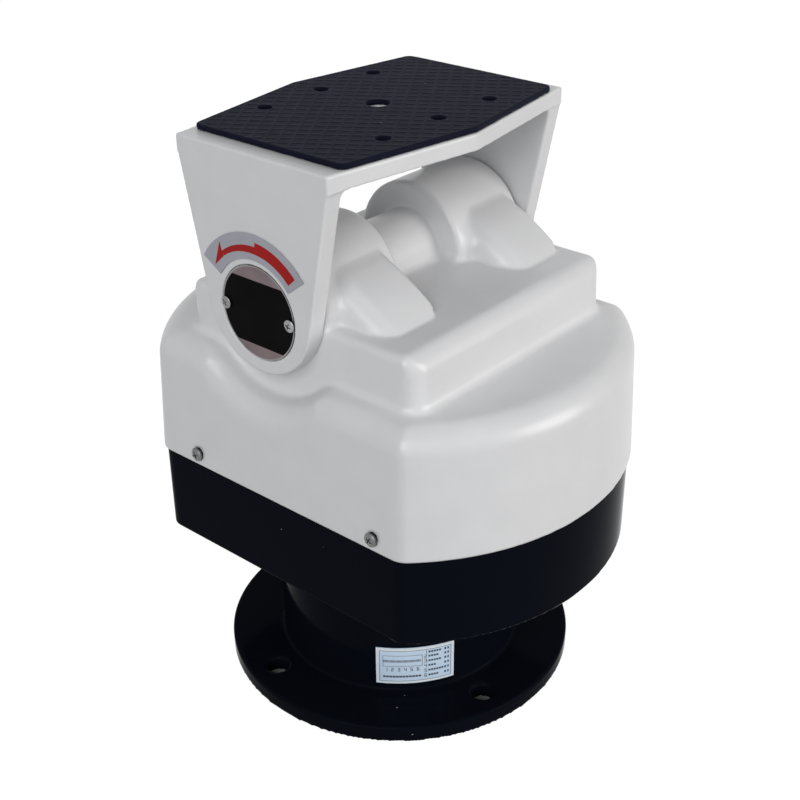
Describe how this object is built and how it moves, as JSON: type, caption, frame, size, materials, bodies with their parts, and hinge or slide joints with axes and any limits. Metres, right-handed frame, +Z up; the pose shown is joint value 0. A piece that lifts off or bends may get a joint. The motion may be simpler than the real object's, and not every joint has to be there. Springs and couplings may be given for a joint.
{
  "type": "motorised pan and tilt head",
  "caption": "Motorised outdoor pan and tilt head: a flanged round base, a turning body with flat sides and a tilting yoke with a rubber-padded camera plate.",
  "frame": {"origin": "centre of the base flange's underside, on the pan axis", "axes": "+Z up along the pan axis; +X along the tilt axis; -Y towards the head's front, where the drums have ramps"},
  "size_m": [0.1506, 0.193, 0.241],
  "materials": {
    "white_paint": "off-white powder coat, lightly textured, satin",
    "black_paint": "gloss black enamel",
    "spindle_steel": "turned steel",
    "bearing_steel": "ground bearing steel",
    "plated_steel": "zinc plated",
    "bright_screw": "nickel plated",
    "gear_brass": "cut brass",
    "gasket_rubber": "matt black rubber",
    "pad_rubber": "black rubber with a fine moulded grid",
    "black_plastic": "moulded black plastic",
    "motor_can": "dark grey motor can",
    "capacitor_can": "drawn aluminium can",
    "gearbox_zinc": "die-cast gearbox",
    "label_film": "printed label film",
    "sticker_film": "printed sticker film, grey with a red arrow",
    "disc_metal": "anodised disc with a black field"
  },
  "bodies": {
    "base": {"base_casting": "black_paint", "base_seal": "gasket_rubber", "wiring_label": "label_film", "terminal_strip": "black_plastic", "pan_spindle": "spindle_steel", "spindle_nut_lower": "plated_steel", "spindle_nut_upper": "plated_steel", "pan_gear": "gear_brass", "pan_limit_cam": "black_plastic"},
    "pan_head": {"pan_housing": "black_paint", "pan_bearing_lower": "bearing_steel", "pan_bearing_upper": "bearing_steel", "housing_gasket": "gasket_rubber", "top_cover": "white_paint", "cover_screw_1": "bright_screw", "cover_screw_2": "bright_screw", "cover_screw_3": "bright_screw", "cover_screw_4": "bright_screw", "chassis_plate": "plated_steel", "chassis_screw_1": "plated_steel", "chassis_screw_2": "plated_steel", "chassis_screw_3": "plated_steel", "chassis_screw_4": "plated_steel", "pan_gearbox": "gearbox_zinc", "pan_motor": "motor_can", "pan_capacitor": "capacitor_can", "pan_limit_switch": "black_plastic", "tilt_bracket": "plated_steel", "tilt_gearbox": "gearbox_zinc", "tilt_motor": "motor_can", "tilt_capacitor": "capacitor_can", "switch_post": "plated_steel", "tilt_limit_switch": "black_plastic", "tilt_bush_left": "gear_brass", "tilt_bush_right": "gear_brass", "tilt_seal_left": "gasket_rubber", "tilt_seal_right": "gasket_rubber"},
    "tilt_frame": {"tilt_yoke": "white_paint", "camera_pad": "pad_rubber", "tilt_shaft": "spindle_steel", "tilt_gear": "gear_brass", "tilt_limit_cam": "black_plastic", "shaft_screw_left": "plated_steel", "shaft_screw_right": "plated_steel", "side_disc_left": "disc_metal", "side_disc_right": "disc_metal", "disc_screw_left_front": "bright_screw", "disc_screw_left_back": "bright_screw", "disc_screw_right_front": "bright_screw", "disc_screw_right_back": "bright_screw", "arrow_sticker": "sticker_film"},
    "pan_drive_pinion": {"pan_pinion": "spindle_steel"},
    "tilt_drive_pinion": {"tilt_pinion": "spindle_steel"}
  },
  "joints": [
    {"name": "pan", "type": "hinge", "parent": "base", "child": "pan_head", "pos_m": [0, 0, 0.0778], "axis": [0, 0, 1], "range_deg": [-177.5, 177.5]},
    {"name": "tilt", "type": "hinge", "parent": "pan_head", "child": "tilt_frame", "pos_m": [0, 0.0082, 0.179], "axis": [1, 0, 0], "range_deg": [-60, 60]},
    {"name": "pan_pinion_spin", "type": "hinge", "parent": "pan_head", "child": "pan_drive_pinion", "pos_m": [0, -0.045, 0.093], "axis": [0, 0, 1], "range_deg": [-712, 712]},
    {"name": "tilt_pinion_spin", "type": "hinge", "parent": "pan_head", "child": "tilt_drive_pinion", "pos_m": [0.0348, 0.0082, 0.15], "axis": [1, 0, 0], "range_deg": [-134, 134]}
  ],
  "couplings": [
    {"joint": "pan_pinion_spin", "follows": "pan", "ratio": 4},
    {"joint": "tilt_pinion_spin", "follows": "tilt", "ratio": -2.2222}
  ]
}
